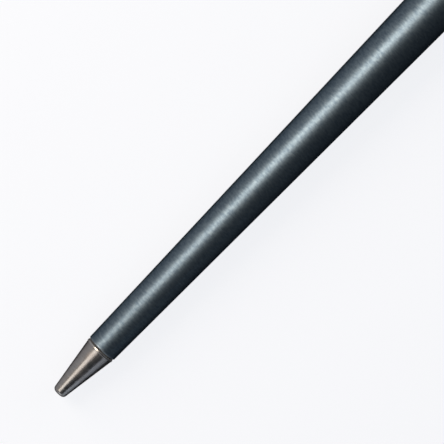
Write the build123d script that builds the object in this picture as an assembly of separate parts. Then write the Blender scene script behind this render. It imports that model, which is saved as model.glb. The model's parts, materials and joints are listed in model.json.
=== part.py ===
from build123d import *
import os
from math import atan, degrees, radians, tan

# An inkless metal pen with a screw-in nib, lying on its side along X, writing end at +X.
# All sizes are in millimetres. Stations are measured along the pen's axis from the writing end.

# Barrel: a swaged tube of even wall, with a straight seat reamed into each end
barrel_length = 129.6
nose_diameter = 5.0         # cone at its front edge
tail_diameter = 10.0        # cone carried on over the plug to the rear face
barrel_wall = 0.8
nose_seat_wall = 0.5        # wall left round the bush at the front edge
tail_seat_wall = 0.7        # wall left round the plug at the rear edge
barrel_edge = 0.1           # broken edge at both ends

# Nib: a blunt cone of soft alloy with a narrow collar at its base
nib_length = 9.25
nib_point_diameter = 2.08   # cone carried on to the end face
nib_point_round = 0.62
collar_width = 0.35
collar_step_in = 0.06       # collar stands this far inside the barrel's front edge
collar_rise = 0.05          # collar stands this far proud of the cone
collar_edge = 0.06

# Washer between nib and barrel
washer_thickness = 0.2
washer_step_in = 0.16       # washer stands this far inside the barrel's front edge

# Stud: the nib's screw, at the thread's outside diameter
stud_diameter = 2.5
stud_in_nib = 4.0
stud_in_bush = 5.0
stud_chamfer = 0.3
socket_relief = 0.2         # nib socket runs on past the stud
drill_point_angle = 118.0

# Bush: the threaded sleeve in the barrel's nose
bush_length = 6.2
bush_countersink = 0.25
bush_edge = 0.15

# Plug that closes the rear end
plug_cap_length = 3.0
plug_spigot_length = 6.0
plug_spigot_chamfer = 0.5
plug_seat_relief = 0.3      # rear seat runs on past the spigot
plug_edge_round = 1.1

# Fits, on the radius
bond_gap = 0.02             # glued joints
running_gap = 0.05          # the screw turning in its bush and its washer

# Stations along the axis
collar_station = nib_length - collar_width
nose_station = nib_length + washer_thickness
bush_end_station = nose_station + bush_length
plug_station = nose_station + barrel_length
rear_station = plug_station + plug_cap_length
tail_seat_station = plug_station - plug_spigot_length - plug_seat_relief

# Radii
nose_radius = nose_diameter / 2
tail_radius = tail_diameter / 2
stud_radius = stud_diameter / 2
collar_radius = nose_radius - collar_step_in
taper = (tail_radius - nose_radius) / (rear_station - nose_station)


def barrel_radius(station):
    return nose_radius + (station - nose_station) * taper


nose_seat_radius = nose_radius - nose_seat_wall
tail_seat_radius = barrel_radius(plug_station) - tail_seat_wall


# A turned piece: an outline of (station, radius) points spun about the axis
def turned(outline):
    return revolve(make_face(Polyline(*outline, close=True)), Axis.X)


# The circular edge furthest forward or furthest back on a turned piece
def end_rim(piece, place):
    return piece.edges().filter_by(GeomType.CIRCLE).sort_by(Axis.X)[place]


def make_barrel():
    front_bore = barrel_radius(bush_end_station) - barrel_wall
    rear_bore = barrel_radius(tail_seat_station) - barrel_wall
    return turned([
        (nose_station, nose_seat_radius),
        (nose_station, nose_radius - barrel_edge),
        (nose_station + barrel_edge, barrel_radius(nose_station + barrel_edge)),
        (plug_station - barrel_edge, barrel_radius(plug_station - barrel_edge)),
        (plug_station, barrel_radius(plug_station) - barrel_edge),
        (plug_station, tail_seat_radius),
        (tail_seat_station, tail_seat_radius),
        (tail_seat_station, rear_bore),
        (bush_end_station, front_bore),
        (bush_end_station, nose_seat_radius),
    ])


def make_nib():
    cone = turned([
        (0, 0),
        (0, nib_point_diameter / 2),
        (collar_station, collar_radius - collar_rise),
        (collar_station + collar_rise, collar_radius),
        (nib_length - collar_edge, collar_radius),
        (nib_length, collar_radius - collar_edge),
        (nib_length, 0),
    ])
    cone = fillet(end_rim(cone, 0), nib_point_round)
    socket_radius = stud_radius + bond_gap
    socket_station = nib_length - stud_in_nib - socket_relief
    drill_tip = socket_radius / tan(radians(drill_point_angle / 2))
    socket = turned([
        (socket_station - drill_tip, 0),
        (socket_station, socket_radius),
        (nib_length, socket_radius),
        (nib_length, 0),
    ])
    return cone - socket


def make_nib_stud():
    front = nib_length - stud_in_nib
    rear = nose_station + stud_in_bush
    return turned([
        (front, 0),
        (front, stud_radius - stud_chamfer),
        (front + stud_chamfer, stud_radius),
        (rear - stud_chamfer, stud_radius),
        (rear, stud_radius - stud_chamfer),
        (rear, 0),
    ])


def make_nib_washer():
    outside = nose_radius - washer_step_in
    hole = stud_radius + running_gap
    return turned([
        (nib_length, hole),
        (nib_length, outside),
        (nose_station, outside),
        (nose_station, hole),
    ])


def make_front_bush():
    outside = nose_seat_radius - bond_gap
    bore = stud_radius + running_gap
    return turned([
        (nose_station, bore + bush_countersink),
        (nose_station, outside - bush_edge),
        (nose_station + bush_edge, outside),
        (bush_end_station - bush_edge, outside),
        (bush_end_station, outside - bush_edge),
        (bush_end_station, bore + bush_countersink),
        (bush_end_station - bush_countersink, bore),
        (nose_station + bush_countersink, bore),
    ])


def make_end_plug():
    spigot = tail_seat_radius - bond_gap
    spigot_station = plug_station - plug_spigot_length
    plug = turned([
        (spigot_station, 0),
        (spigot_station, spigot - plug_spigot_chamfer),
        (spigot_station + plug_spigot_chamfer, spigot),
        (plug_station, spigot),
        (plug_station, barrel_radius(plug_station) - barrel_edge),
        (plug_station + barrel_edge, barrel_radius(plug_station + barrel_edge)),
        (rear_station, tail_radius),
        (rear_station, 0),
    ])
    return fillet(end_rim(plug, -1), plug_edge_round)


pieces = {
    "barrel": make_barrel(),
    "nib": make_nib(),
    "nib_stud": make_nib_stud(),
    "nib_washer": make_nib_washer(),
    "front_bush": make_front_bush(),
    "end_plug": make_end_plug(),
}

# The pen lies on the lowest line of its barrel, so its axis climbs to the rear by half the cone angle.
# The origin is on the surface that it lies on, midway between the two ends.
facing = Location((0, 0, 0), (0, 0, 180))
leaning = facing * Location((0, 0, 0), (0, -degrees(atan(taper)), 0))
reach = Compound([leaning * piece for piece in pieces.values()]).bounding_box()
lying = Location((-reach.center().X, 0, -reach.min.Z)) * leaning

os.makedirs("parts", exist_ok=True)
for name, piece in pieces.items():
    export_step(lying * piece, f"parts/{name}.step")
    print(f"{name}: {piece.volume:.2f} mm3")
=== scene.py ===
import bpy
import bmesh
import json
from math import ceil, cos, exp, hypot, pi, radians, sin, tan
from mathutils import Matrix, Vector


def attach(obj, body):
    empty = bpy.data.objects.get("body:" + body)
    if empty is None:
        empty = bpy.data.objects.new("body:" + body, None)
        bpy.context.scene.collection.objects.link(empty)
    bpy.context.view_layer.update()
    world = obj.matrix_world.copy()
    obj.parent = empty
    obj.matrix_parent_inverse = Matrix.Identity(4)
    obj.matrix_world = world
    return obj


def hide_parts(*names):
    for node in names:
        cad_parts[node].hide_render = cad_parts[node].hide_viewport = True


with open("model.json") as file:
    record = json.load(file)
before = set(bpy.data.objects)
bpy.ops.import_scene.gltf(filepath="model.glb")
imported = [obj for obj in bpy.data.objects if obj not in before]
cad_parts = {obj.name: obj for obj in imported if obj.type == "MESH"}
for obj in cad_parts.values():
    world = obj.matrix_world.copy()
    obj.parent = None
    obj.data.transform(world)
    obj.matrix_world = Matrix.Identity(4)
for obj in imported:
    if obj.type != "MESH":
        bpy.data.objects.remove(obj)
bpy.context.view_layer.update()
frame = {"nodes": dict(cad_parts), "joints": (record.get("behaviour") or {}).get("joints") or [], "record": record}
record = frame["record"]
mm = 0.001
print("frame loaded with nodes", ", ".join(sorted(frame["nodes"])))


# The pen's own axes, taken from the joint that turns the nib.
# x is the station, counted back from the writing end, and z is the pen's upper side.
nibTurn = next(joint for joint in frame["joints"] if joint["name"] == "nib_turn")
rearward = -Vector(nibTurn["axis"]).normalized()
worldUp = Vector((0, 0, 1))
upward = (worldUp - rearward * rearward.dot(worldUp)).normalized()
sideways = upward.cross(rearward)
penTurn = Matrix((rearward, sideways, upward)).transposed().to_4x4()
nibSeat = Matrix.Translation(Vector(nibTurn["pos_m"])) @ penTurn
intoSeat = nibSeat.inverted()
nibFront = min((intoSeat @ vertex.co).x for vertex in frame["nodes"]["nib"].data.vertices)
penPlace = nibSeat @ Matrix.Translation((nibFront, 0, 0))
intoPen = penPlace.inverted()

# One turn of the nib for this much travel
screwLink = next(link for link in record["behaviour"]["couplings"] if link["joint"] == "nib_turn")
threadPitch = 2 * pi / screwLink["ratio"]
print("pen axis found, thread pitch", round(threadPitch / mm, 3), "mm")


outlineReading = {
    "seamBand": 0.001 * mm,     # vertices this near the pen's side plane are on the line that is read
    "ringGap": 0.004 * mm,      # vertices this close in station and radius are one ring
    "straight": radians(0.5),   # a ring that turns the outline less than this is left out
    "smooth": radians(16),      # a smaller turn belongs to a round, a larger one is a corner
}


# The outline of a turned CAD node, read along the line where each of its faces closes on itself
def cadOutline(name):
    mesh = frame["nodes"][name].data
    spots = [intoPen @ vertex.co for vertex in mesh.vertices]
    flat = [Vector((spot.x, hypot(spot.y, spot.z))) for spot in spots]
    rings = []

    def ringsNear(here):
        return [i for i, ring in enumerate(rings) if (ring - here).length < outlineReading["ringGap"]]

    for spot, here in zip(spots, flat):
        onSeam = spot.y > -outlineReading["seamBand"] and abs(spot.z) < outlineReading["seamBand"]
        if onSeam and not ringsNear(here):
            rings.append(here)
    ringOf = [ringsNear(here) for here in flat]
    beside = [set() for ring in rings]
    for edge in mesh.edges:
        first, second = (ringOf[i] for i in edge.vertices)
        if first and second and first[0] != second[0]:
            beside[first[0]].add(second[0])
            beside[second[0]].add(first[0])
    corners, closed = walkRings(rings, beside)
    return keepCorners(corners, closed), closed


# Rings in their order along the outline, which closes on itself only in a bored piece
def walkRings(rings, beside):
    ends = [i for i, others in enumerate(beside) if len(others) == 1]
    walk = [ends[0] if ends else 0]
    while True:
        onward = [i for i in beside[walk[-1]] if i not in walk]
        if not onward:
            break
        walk.append(min(onward, key=lambda i: (rings[i] - rings[walk[-1]]).length))
    corners = [rings[i] for i in walk]
    if ends:        # flat ends run in to the axis
        corners = [Vector((corners[0].x, 0))] + corners + [Vector((corners[-1].x, 0))]
    return corners, not ends


def keepCorners(corners, closed):
    kept = []
    for i, corner in enumerate(corners):
        into = corner - corners[i - 1]
        away = corners[(i + 1) % len(corners)] - corner
        atEnd = not closed and i in (0, len(corners) - 1)
        if into.length < outlineReading["ringGap"]:
            continue
        if atEnd or into.angle(away, 0) > outlineReading["straight"]:
            kept.append(corner)
    if signedArea(kept) < 0:
        kept.reverse()
    return kept


def signedArea(corners):
    return sum(corners[i - 1].cross(corner) for i, corner in enumerate(corners)) / 2


ringSpacing = {
    "roundShare": 0.45,         # the round of a corner takes this much of the shorter run at most
    "sameSpot": 0.0005 * mm,    # outline points this close are one
    "firstGap": 0.02 * mm,      # from the end of a run to its first ring
    "gapGrowth": 1.8,           # each gap against the one before
    "onAxis": 0.00001 * mm,     # a point this near the axis is on it
    "smallestRing": 0.1 * mm,
}


# Each corner gets a small round, so that it catches the light. Outer corners are also noted for wear.
def easeCorners(corners, closed, ease, arcSteps):
    eased = []
    worn = []
    for i, corner in enumerate(corners):
        if not closed and i in (0, len(corners) - 1):
            eased.append(corner)
            continue
        toLast = corners[i - 1] - corner
        toNext = corners[(i + 1) % len(corners)] - corner
        turn = pi - toLast.angle(toNext)
        shortest = min(toLast.length, toNext.length)
        if turn < outlineReading["smooth"]:
            reach = shortest / 2
        else:
            reach = min(ease * tan(turn / 2), shortest * ringSpacing["roundShare"])
            if (-toLast).cross(toNext) > 0:
                worn.append(corner)
        start = corner + toLast.normalized() * reach
        end = corner + toNext.normalized() * reach
        for step in range(arcSteps + 1):
            share = step / arcSteps
            eased.append(start.lerp(corner, share).lerp(corner.lerp(end, share), share))
    return eased, worn


# Straight runs get closer stops towards their ends, and even ones where a thread is cut
def fillRuns(eased, closed, longest, thread):
    stops = []
    count = len(eased) if closed else len(eased) - 1
    for i in range(count):
        start = eased[i]
        end = eased[(i + 1) % len(eased)]
        run = (end - start).length
        if run < ringSpacing["sameSpot"]:
            continue
        stops.append(start)
        threaded = thread and onThread(start, thread) and onThread(end, thread)
        if threaded and run > threadPitch:
            pieces = ceil(run / threadPitch * threadCut["stopsPerTurn"])
            stops += [start.lerp(end, step / pieces) for step in range(1, pieces)]
            continue
        marks = []
        gap = ringSpacing["firstGap"]
        mark = gap
        while mark < run / 2:
            marks += [mark, run - mark]
            gap = min(gap * ringSpacing["gapGrowth"], longest)
            mark += gap
        stops += [start.lerp(end, mark / run) for mark in sorted(marks)]
    if not closed:
        stops.append(eased[-1])
    return [stop for stop in stops if isOnAxis(stop) or stop.y > ringSpacing["smallestRing"]]


def isOnAxis(stop):
    return stop.y < ringSpacing["onAxis"]


threadCut = {
    "crestFlat": 1 / 8,             # shares of the pitch
    "rootFlat": 1 / 4,
    "runOut": 0.35 * mm,            # the depth grows over this length at both ends
    "stopsPerTurn": 16,
    "sameRadius": 0.0001 * mm,      # a point this near the thread's radius is on the thread
}


def onThread(spot, thread):
    return abs(spot.y - thread["radius"]) < threadCut["sameRadius"]


# The thread runs as far as the outline stays at its radius
def threadOn(outline, radius, depth):
    thread = {"radius": radius, "depth": depth * mm}
    stations = [corner.x for corner in outline[0] if onThread(corner, thread)]
    thread["front"] = min(stations)
    thread["rear"] = max(stations)
    return thread


# Share of the thread's depth at a phase of the turn: 0 on the crest, 1 in the root
def threadForm(phase):
    crestHalf = threadCut["crestFlat"] / 2
    rootHalf = threadCut["rootFlat"] / 2
    flank = 1 / 2 - crestHalf - rootHalf
    fromCrest = abs(phase - round(phase))
    return min(max((fromCrest - crestHalf) / flank, 0), 1)


def threadDepth(spot, angle, thread):
    if not onThread(spot, thread):
        return 0
    ramp = min(spot.x - thread["front"], thread["rear"] - spot.x) / threadCut["runOut"]
    return thread["depth"] * min(max(ramp, 0), 1) * threadForm(spot.x / threadPitch - angle / (2 * pi))


# Wear is full on a corner and fades with the distance from it
def edgeShare(stop, worn, reach):
    if not worn:
        return 0
    nearest = min((stop - corner).length for corner in worn)
    return exp(-(nearest / reach) ** 2)


# A ring of vertices for each stop, and each vertex's share of the wear along edges
def turnRings(stops, worn, shape, thread):
    steps = shape["roundSteps"]
    spots = []
    rings = []
    edgeShares = []
    for stop in stops:
        share = edgeShare(stop, worn, shape["wearReach"] * mm)
        ring = []
        for step in range(1 if isOnAxis(stop) else steps):
            angle = 2 * pi * step / steps
            radius = stop.y - (threadDepth(stop, angle, thread) if thread else 0)
            ring.append(len(spots))
            spots.append((stop.x, radius * cos(angle), radius * sin(angle)))
            edgeShares.append(share)
        rings.append(ring * steps if isOnAxis(stop) else ring)
    return spots, rings, edgeShares


# Faces between the rings, and where their corners lie on a map along the outline and round the pen
def joinRings(stops, rings, closed, steps):
    along = [0]
    for i, stop in enumerate(stops):
        along.append(along[-1] + (stops[(i + 1) % len(stops)] - stop).length)
    faces = []
    mapSpots = []
    for i in range(len(stops) if closed else len(stops) - 1):
        here = rings[i]
        there = rings[(i + 1) % len(stops)]
        start = along[i] / along[-1]
        end = along[i + 1] / along[-1]
        for step in range(steps):
            after = (step + 1) % steps
            face = [here[step], here[after], there[after], there[step]]
            turnStart = step / steps
            turnEnd = (step + 1) / steps
            onMap = [(start, turnStart), (start, turnEnd), (end, turnEnd), (end, turnStart)]
            apart = [c for c in range(len(face)) if face[c] != face[c - 1]]
            faces.append([face[c] for c in apart])
            mapSpots += [onMap[c] for c in apart]
    return faces, mapSpots


def faceOutward(mesh):
    work = bmesh.new()
    work.from_mesh(mesh)
    bmesh.ops.recalc_face_normals(work, faces=work.faces)
    work.to_mesh(mesh)
    work.free()


# A turned piece in the pen's own axes
def turnPiece(name, shape, outline, thread=None):
    corners, closed = outline
    eased, worn = easeCorners(corners, closed, shape["ease"] * mm, shape["arcSteps"])
    stops = fillRuns(eased, closed, shape["longestGap"] * mm, thread)
    spots, rings, edgeShares = turnRings(stops, worn, shape, thread)
    faces, mapSpots = joinRings(stops, rings, closed, shape["roundSteps"])
    mesh = bpy.data.meshes.new(name)
    mesh.from_pydata(spots, [], faces)
    turning = mesh.uv_layers.new(name="turning")
    for loop, spot in zip(turning.data, mapSpots):
        loop.uv = spot
    edge = mesh.attributes.new("edge", "FLOAT", "POINT")
    edge.data.foreach_set("value", edgeShares)
    faceOutward(mesh)
    mesh.shade_smooth()
    piece = bpy.data.objects.new(name, mesh)
    bpy.context.scene.collection.objects.link(piece)
    piece.matrix_world = penPlace
    return piece


def fitPiece(piece, node, body, finish):
    piece.data.materials.append(finish)
    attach(piece, body)
    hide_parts(node)
    print(piece.name, "turned with", len(piece.data.polygons), "faces, in place of", node)


# Short helpers for shader nodes
def feed(tree, socket, value):
    if isinstance(value, bpy.types.NodeSocket):
        tree.links.new(value, socket)
    else:
        socket.default_value = value


def calc(tree, operation, *values):
    node = tree.nodes.new("ShaderNodeMath")
    node.operation = operation
    for socket, value in zip(node.inputs, values):
        feed(tree, socket, value)
    return node.outputs[0]


def remap(tree, value, low, high, newLow, newHigh):
    node = tree.nodes.new("ShaderNodeMapRange")
    for socket, entry in zip(node.inputs, (value, low, high, newLow, newHigh)):
        feed(tree, socket, entry)
    return node.outputs[0]


# Places of a Mix node's colour sockets
colourMix = {"share": 0, "first": 6, "second": 7, "result": 2}


def blendColour(tree, share, first, second):
    node = tree.nodes.new("ShaderNodeMix")
    node.data_type = "RGBA"
    feed(tree, node.inputs[colourMix["share"]], share)
    feed(tree, node.inputs[colourMix["first"]], first)
    feed(tree, node.inputs[colourMix["second"]], second)
    return node.outputs[colourMix["result"]]


def noise(tree, vector, scale, detail, roughness):
    node = tree.nodes.new("ShaderNodeTexNoise")
    feed(tree, node.inputs["Vector"], vector)
    feed(tree, node.inputs["Scale"], scale)
    node.inputs["Detail"].default_value = detail
    node.inputs["Roughness"].default_value = roughness
    return node.outputs[0]


def joined(tree, *values):
    node = tree.nodes.new("ShaderNodeCombineXYZ")
    for socket, value in zip(node.inputs, values):
        feed(tree, socket, value)
    return node.outputs[0]


def newGroup(name, inputs, outputs):
    group = bpy.data.node_groups.new(name, "ShaderNodeTree")
    for label, kind in inputs:
        group.interface.new_socket(name=label, in_out="INPUT", socket_type="NodeSocket" + kind)
    for label in outputs:
        group.interface.new_socket(name=label, in_out="OUTPUT", socket_type="NodeSocketFloat")
    return group, group.nodes.new("NodeGroupInput").outputs, group.nodes.new("NodeGroupOutput").inputs


def useGroup(tree, group, spot, values):
    node = tree.nodes.new("ShaderNodeGroup")
    node.node_tree = group
    tree.links.new(spot, node.inputs["spot"])
    for label, value in values.items():
        node.inputs[label].default_value = value
    return node.outputs


marksNoise = {
    "radiusShare": 0.83,        # a step out from the axis counts as this much of a step along it
    "fineDetail": 2.0,
    "broadDetail": 3.0,
    "roughness": 0.6,
}


# Marks left by turning and brushing: fine and broad lines round the pen, rings on its end faces
def makeTurnedMarks():
    group, given, result = newGroup("turnedMarks", [
        ("spot", "Vector"), ("fineLines", "Float"), ("broadLines", "Float"), ("lineLength", "Float")],
        ["fine", "broad"])
    parts = group.nodes.new("ShaderNodeSeparateXYZ")
    group.links.new(given["spot"], parts.inputs[0])
    station, acrossY, acrossZ = parts.outputs
    squareY = calc(group, "MULTIPLY", acrossY, acrossY)
    squareZ = calc(group, "MULTIPLY", acrossZ, acrossZ)
    radius = calc(group, "SQRT", calc(group, "ADD", squareY, squareZ))
    travel = calc(group, "ADD", station, calc(group, "MULTIPLY", radius, marksNoise["radiusShare"]))
    roundY = calc(group, "MULTIPLY", acrossY, given["lineLength"])
    roundZ = calc(group, "MULTIPLY", acrossZ, given["lineLength"])
    for lines, label in (("fineLines", "fine"), ("broadLines", "broad")):
        spot = joined(group, calc(group, "MULTIPLY", travel, given[lines]), roundY, roundZ)
        pattern = noise(group, spot, 1.0, marksNoise[label + "Detail"], marksNoise["roughness"])
        group.links.new(pattern, result[label])
    return group


wearNoise = {"detail": 3.0, "roughness": 0.5, "low": 0.3, "high": 0.7, "least": 0.35}


# Bare metal where a corner has rubbed, broken up so that it isn't an even line
def makeEdgeWear():
    group, given, result = newGroup("edgeWear", [
        ("spot", "Vector"), ("amount", "Float"), ("patches", "Float")], ["mask"])
    edge = group.nodes.new("ShaderNodeAttribute")
    edge.attribute_name = "edge"
    pattern = noise(group, given["spot"], given["patches"], wearNoise["detail"], wearNoise["roughness"])
    patchy = remap(group, pattern, wearNoise["low"], wearNoise["high"], wearNoise["least"], 1.0)
    rubbed = calc(group, "MULTIPLY", edge.outputs["Fac"], patchy)
    group.links.new(calc(group, "MULTIPLY", rubbed, given["amount"]), result["mask"])
    return group


touchNoise = {"detail": 3.0, "roughness": 0.5, "low": 0.35, "high": 0.7}


# Soft blotches where fingers have been
def makeHandling():
    group, given, result = newGroup("handling", [("spot", "Vector"), ("scale", "Float")], ["mask"])
    pattern = noise(group, given["spot"], given["scale"], touchNoise["detail"], touchNoise["roughness"])
    blotches = remap(group, pattern, touchNoise["low"], touchNoise["high"], 0.0, 1.0)
    group.links.new(blotches, result["mask"])
    return group


turnedMarks = makeTurnedMarks()
edgeWear = makeEdgeWear()
handling = makeHandling()
print("shared surface effects made")


def startFinish(name):
    finish = bpy.data.materials.new(name)
    finish.use_nodes = True
    tree = finish.node_tree
    shader = tree.nodes["Principled BSDF"]
    spot = tree.nodes.new("ShaderNodeTexCoord").outputs["Object"]
    return finish, tree, shader, spot


linesSpan = {"low": 0.3, "high": 0.7}       # between these the lines go from one value to the other


def byLines(tree, lines, first, second):
    return remap(tree, lines, linesSpan["low"], linesSpan["high"], first, second)


# Fine and broad lines together
def mixLines(tree, marks, fineShare):
    fine = calc(tree, "MULTIPLY", marks["fine"], fineShare)
    broad = calc(tree, "MULTIPLY", marks["broad"], 1 - fineShare)
    return calc(tree, "ADD", fine, broad)


def linedRoughness(tree, lines, touch, look):
    deep = look["roughness"] - look["lineDull"]
    pale = look["roughness"] + look["lineDull"]
    lined = byLines(tree, lines, deep, pale)
    return calc(tree, "ADD", lined, calc(tree, "MULTIPLY", touch, look["touchDull"]))


def touchedRoughness(tree, touch, look):
    return remap(tree, touch, 0.0, 1.0, look["roughness"], look["roughness"] + look["touchDull"])


def raiseBump(tree, shader, height, depth):
    bump = tree.nodes.new("ShaderNodeBump")
    bump.inputs["Strength"].default_value = 1.0
    bump.inputs["Distance"].default_value = depth
    tree.links.new(height, bump.inputs["Height"])
    tree.links.new(bump.outputs[0], shader.inputs["Normal"])


def stretchShine(tree, shader, amount):
    tangent = tree.nodes.new("ShaderNodeTangent")
    tangent.direction_type = "UV_MAP"
    tangent.uv_map = "turning"
    shader.inputs["Anisotropic"].default_value = amount
    tree.links.new(tangent.outputs[0], shader.inputs["Tangent"])


# In each finish, lines, patches and blotches are counted in waves to the metre.
# A negative lineDull makes the pale lines shinier.
gunmetalLook = {
    "deepTone": (0.0395, 0.0560, 0.0755, 1),
    "paleTone": (0.0725, 0.0950, 0.1160, 1),
    "rubbedTone": (0.30, 0.33, 0.36, 1),
    "edgeTint": (0.10, 0.06, 0.02, 1),      # near black, so that the metal darkens towards its outline
    "roughness": 0.45,
    "lineDull": -0.010,
    "touchDull": 0.03,
    "fineShare": 0.9,
    "bumpDepth": 0.010 * mm,
    "marks": {"fineLines": 3200.0, "broadLines": 1000.0, "lineLength": 1300.0},
    "wear": {"amount": 0.3, "patches": 900.0},
    "touch": {"scale": 90.0},
}


def gunmetalFinish():
    look = gunmetalLook
    finish, tree, shader, spot = startFinish("gunmetal satin")
    marks = useGroup(tree, turnedMarks, spot, look["marks"])
    wear = useGroup(tree, edgeWear, spot, look["wear"])["mask"]
    touch = useGroup(tree, handling, spot, look["touch"])["mask"]
    lines = mixLines(tree, marks, look["fineShare"])
    tone = blendColour(tree, byLines(tree, lines, 0.0, 1.0), look["deepTone"], look["paleTone"])
    tree.links.new(blendColour(tree, wear, tone, look["rubbedTone"]), shader.inputs["Base Color"])
    tree.links.new(linedRoughness(tree, lines, touch, look), shader.inputs["Roughness"])
    raiseBump(tree, shader, lines, look["bumpDepth"])
    shader.inputs["Metallic"].default_value = 1.0
    shader.inputs["Specular Tint"].default_value = look["edgeTint"]
    return finish


alloyLook = {
    "deepTone": (0.150, 0.147, 0.148, 1),
    "paleTone": (0.210, 0.206, 0.206, 1),
    "tarnishTone": (0.150, 0.120, 0.105, 1),
    "tarnishShare": 0.35,
    "rubbedTone": (0.42, 0.405, 0.385, 1),
    "edgeTint": (0.02, 0.02, 0.03, 1),
    "roughness": 0.29,
    "lineDull": 0.05,
    "touchDull": 0.05,
    "fineShare": 0.5,
    "stretch": 0.3,                         # highlights drawn out by the turning lines
    "bumpDepth": 0.0015 * mm,
    "marks": {"fineLines": 5200.0, "broadLines": 1500.0, "lineLength": 500.0},
    "wear": {"amount": 0.4, "patches": 900.0},
    "touch": {"scale": 420.0},
}


def alloyFinish():
    look = alloyLook
    finish, tree, shader, spot = startFinish("writing alloy")
    marks = useGroup(tree, turnedMarks, spot, look["marks"])
    wear = useGroup(tree, edgeWear, spot, look["wear"])["mask"]
    touch = useGroup(tree, handling, spot, look["touch"])["mask"]
    lines = mixLines(tree, marks, look["fineShare"])
    tone = blendColour(tree, byLines(tree, lines, 0.0, 1.0), look["deepTone"], look["paleTone"])
    tarnish = calc(tree, "MULTIPLY", touch, look["tarnishShare"])
    tone = blendColour(tree, tarnish, tone, look["tarnishTone"])
    tree.links.new(blendColour(tree, wear, tone, look["rubbedTone"]), shader.inputs["Base Color"])
    tree.links.new(linedRoughness(tree, lines, touch, look), shader.inputs["Roughness"])
    raiseBump(tree, shader, lines, look["bumpDepth"])
    shader.inputs["Metallic"].default_value = 1.0
    shader.inputs["Specular Tint"].default_value = look["edgeTint"]
    stretchShine(tree, shader, look["stretch"])
    return finish


brassLook = {
    "deepTone": (0.55, 0.36, 0.13, 1),
    "paleTone": (0.72, 0.52, 0.22, 1),
    "rubbedTone": (0.85, 0.68, 0.36, 1),
    "roughness": 0.28,
    "touchDull": 0.14,
    "bumpDepth": 0.001 * mm,
    "marks": {"fineLines": 9000.0, "broadLines": 2500.0, "lineLength": 300.0},
    "wear": {"amount": 0.6, "patches": 3000.0},
    "touch": {"scale": 500.0},
}


def brassFinish():
    look = brassLook
    finish, tree, shader, spot = startFinish("turned brass")
    marks = useGroup(tree, turnedMarks, spot, look["marks"])
    wear = useGroup(tree, edgeWear, spot, look["wear"])["mask"]
    touch = useGroup(tree, handling, spot, look["touch"])["mask"]
    lines = byLines(tree, marks["broad"], 0.0, 1.0)
    tone = blendColour(tree, lines, look["paleTone"], look["deepTone"])
    tree.links.new(blendColour(tree, wear, tone, look["rubbedTone"]), shader.inputs["Base Color"])
    tree.links.new(touchedRoughness(tree, touch, look), shader.inputs["Roughness"])
    raiseBump(tree, shader, marks["fine"], look["bumpDepth"])
    shader.inputs["Metallic"].default_value = 1.0
    return finish


fibreLook = {
    "deepTone": (0.010, 0.010, 0.011, 1),
    "paleTone": (0.035, 0.034, 0.033, 1),
    "roughness": 0.78,
    "touchDull": 0.15,
    "bumpDepth": 0.012 * mm,
    "marks": {"fineLines": 14000.0, "broadLines": 6000.0, "lineLength": 2500.0},
    "touch": {"scale": 1500.0},
}


def fibreFinish():
    look = fibreLook
    finish, tree, shader, spot = startFinish("black fibre")
    marks = useGroup(tree, turnedMarks, spot, look["marks"])
    touch = useGroup(tree, handling, spot, look["touch"])["mask"]
    flecks = calc(tree, "MULTIPLY", touch, marks["fine"])
    tone = blendColour(tree, flecks, look["deepTone"], look["paleTone"])
    tree.links.new(tone, shader.inputs["Base Color"])
    tree.links.new(touchedRoughness(tree, touch, look), shader.inputs["Roughness"])
    raiseBump(tree, shader, marks["broad"], look["bumpDepth"])
    return finish


gunmetal = gunmetalFinish()
alloy = alloyFinish()
brass = brassFinish()
fibre = fibreFinish()
print("finishes made")


# For each piece in millimetres: the round of its corners, the longest gap between rings along it,
# and how far wear reaches from a corner. The steps count the faces of a round and of a full turn.
barrelShape = {"ease": 0.05, "arcSteps": 4, "longestGap": 2.0, "roundSteps": 160, "wearReach": 0.12}
barrel = turnPiece("barrelTube", barrelShape, cadOutline("barrel"))
fitPiece(barrel, "barrel", "barrel", gunmetal)

plugShape = {"ease": 0.06, "arcSteps": 4, "longestGap": 0.6, "roundSteps": 160, "wearReach": 0.15}
plug = turnPiece("rearPlug", plugShape, cadOutline("end_plug"))
fitPiece(plug, "end_plug", "barrel", gunmetal)

nibShape = {"ease": 0.03, "arcSteps": 4, "longestGap": 0.5, "roundSteps": 144, "wearReach": 0.07}
nib = turnPiece("nibCone", nibShape, cadOutline("nib"))
fitPiece(nib, "nib", "nib", alloy)

washerShape = {"ease": 0.04, "arcSteps": 4, "longestGap": 0.3, "roundSteps": 128, "wearReach": 0.05}
washer = turnPiece("seamWasher", washerShape, cadOutline("nib_washer"))
fitPiece(washer, "nib_washer", "nib_washer", fibre)

studShape = {"ease": 0.04, "arcSteps": 3, "longestGap": 0.3, "roundSteps": 72, "wearReach": 0.06,
             "threadDepth": 0.25}
studOutline = cadOutline("nib_stud")
studRadius = max(corner.y for corner in studOutline[0])
studThread = threadOn(studOutline, studRadius, studShape["threadDepth"])
stud = turnPiece("nibStud", studShape, studOutline, studThread)
fitPiece(stud, "nib_stud", "nib", brass)

bushShape = {"ease": 0.04, "arcSteps": 3, "longestGap": 0.5, "roundSteps": 72, "wearReach": 0.06,
             "threadDepth": 0.22}
bushOutline = cadOutline("front_bush")
bushBore = min(corner.y for corner in bushOutline[0])
bushThread = threadOn(bushOutline, bushBore, bushShape["threadDepth"])
bush = turnPiece("noseBush", bushShape, bushOutline, bushThread)
fitPiece(bush, "front_bush", "barrel", brass)


# Directions round the pen: swing goes from straight above to the picture's upper left, lean to the rear
def direction(swing, lean):
    across = upward * cos(radians(swing)) + sideways * sin(radians(swing))
    return across * cos(radians(lean)) + rearward * sin(radians(lean))


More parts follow.
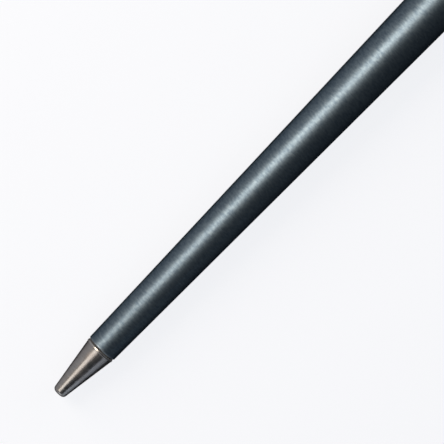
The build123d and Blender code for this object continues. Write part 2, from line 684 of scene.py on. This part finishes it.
cameraSet = {
    "frameSide": 444,       # pixels
    "focal": 2000,          # pixels
    "sensor": 36.0,         # mm
    "nearest": 1.0,         # mm, nothing closer is drawn
    "aimStation": 35.61,    # mm behind the writing end
    "aimAside": 0.245,      # mm off the axis, towards the upper left
    "distance": 298.6,      # mm
    "swing": 42.0,          # degrees
    "lean": 2.47,           # degrees
    "roll": 45.91,          # degrees that the pen climbs in the picture
}


def addCamera():
    data = bpy.data.cameras.new("photoCamera")
    data.sensor_width = cameraSet["sensor"]
    data.lens = cameraSet["focal"] / cameraSet["frameSide"] * cameraSet["sensor"]
    data.clip_start = cameraSet["nearest"] * mm
    camera = bpy.data.objects.new("photoCamera", data)
    bpy.context.scene.collection.objects.link(camera)
    back = direction(cameraSet["swing"], cameraSet["lean"])
    along = (rearward - back * rearward.dot(back)).normalized()
    aside = back.cross(along)
    roll = radians(cameraSet["roll"])
    right = along * cos(roll) - aside * sin(roll)
    up = along * sin(roll) + aside * cos(roll)
    aim = penPlace @ Vector((cameraSet["aimStation"] * mm, 0, 0)) + aside * cameraSet["aimAside"] * mm
    turn = Matrix((right, up, back)).transposed().to_4x4()
    camera.matrix_world = Matrix.Translation(aim + back * cameraSet["distance"] * mm) @ turn
    bpy.context.scene.camera = camera
    return aim


aimPoint = addCamera()
print("camera set")


floorLook = {
    "tone": (0.78, 0.785, 0.82, 1),
    "roughness": 0.9,
    "specular": 0.1,
    "glow": (0.960, 0.968, 0.995, 1),
    "glowShare": 0.85,      # share of the floor's look that isn't the lamps' doing
    "side": 6.0,            # metres
}


def addFloor():
    mesh = bpy.data.meshes.new("floor")
    half = floorLook["side"] / 2
    corners = [(-half, -half, 0), (half, -half, 0), (half, half, 0), (-half, half, 0)]
    mesh.from_pydata(corners, [], [(0, 1, 2, 3)])
    floor = bpy.data.objects.new("floor", mesh)
    bpy.context.scene.collection.objects.link(floor)
    finish = bpy.data.materials.new("pale floor")
    finish.use_nodes = True
    tree = finish.node_tree
    shader = tree.nodes["Principled BSDF"]
    shader.inputs["Base Color"].default_value = floorLook["tone"]
    shader.inputs["Roughness"].default_value = floorLook["roughness"]
    shader.inputs["Specular IOR Level"].default_value = floorLook["specular"]
    glow = tree.nodes.new("ShaderNodeEmission")
    glow.inputs["Color"].default_value = floorLook["glow"]
    path = tree.nodes.new("ShaderNodeLightPath").outputs
    mirrored = calc(tree, "MAXIMUM", path["Is Glossy Ray"], path["Is Transmission Ray"])
    seen = calc(tree, "MAXIMUM", path["Is Camera Ray"], mirrored)
    mix = tree.nodes.new("ShaderNodeMixShader")
    tree.links.new(calc(tree, "MULTIPLY", seen, floorLook["glowShare"]), mix.inputs[0])
    tree.links.new(shader.outputs[0], mix.inputs[1])
    tree.links.new(glow.outputs[0], mix.inputs[2])
    tree.links.new(mix.outputs[0], tree.nodes["Material Output"].inputs["Surface"])
    mesh.materials.append(finish)


addFloor()
print("floor laid")


# A lamp's swing and lean are in degrees, its distance and sides in millimetres.
# Its level is the brightness of its face.
def addLamp(name, lamp):
    data = bpy.data.lights.new(name, "AREA")
    data.shape = "RECTANGLE"
    data.size = lamp["along"] * mm
    data.size_y = lamp["across"] * mm
    data.color = lamp["tint"]
    data.energy = lamp["level"] * pi * data.size * data.size_y
    light = bpy.data.objects.new(name, data)
    bpy.context.scene.collection.objects.link(light)
    back = direction(lamp["swing"], lamp["lean"])
    along = (rearward - back * rearward.dot(back)).normalized()
    turn = Matrix((along, back.cross(along), back)).transposed().to_4x4()
    light.matrix_world = Matrix.Translation(aimPoint + back * lamp["distance"] * mm) @ turn
    light.visible_camera = False


keyLamp = {"swing": 69.0, "lean": 3.0, "distance": 550.0, "across": 232.0, "along": 150.0,
           "level": 47.5, "tint": (1.0, 0.88, 0.74)}
addLamp("keySoftbox", keyLamp)
frontLamp = {"swing": 60.0, "lean": -27.0, "distance": 550.0, "across": 280.0, "along": 150.0,
             "level": 5.9, "tint": (1.0, 0.95, 0.87)}
addLamp("frontSoftbox", frontLamp)
fillLamp = {"swing": -43.0, "lean": -30.0, "distance": 500.0, "across": 400.0, "along": 100.0,
            "level": 2.45, "tint": (0.8, 0.89, 1.0)}
addLamp("fillSoftbox", fillLamp)
rearPanel = {"swing": -25.0, "lean": 67.0, "distance": 600.0, "across": 1000.0, "along": 450.0,
             "level": 2.0, "tint": (0.92, 0.96, 1.0)}
addLamp("rearPanel", rearPanel)
nosePanel = {"swing": 0.0, "lean": -69.0, "distance": 600.0, "across": 700.0, "along": 400.0,
             "level": 2.1, "tint": (0.92, 0.96, 1.0)}
addLamp("nosePanel", nosePanel)
print("lamps set")

worldLook = {"tone": (0.66, 0.83, 1.0, 1), "level": 0.05}
world = bpy.data.worlds.new("studio")
world.use_nodes = True
sky = world.node_tree.nodes["Background"]
sky.inputs["Color"].default_value = worldLook["tone"]
sky.inputs["Strength"].default_value = worldLook["level"]
bpy.context.scene.world = world
bpy.context.scene.view_settings.view_transform = "Standard"
print("world set")
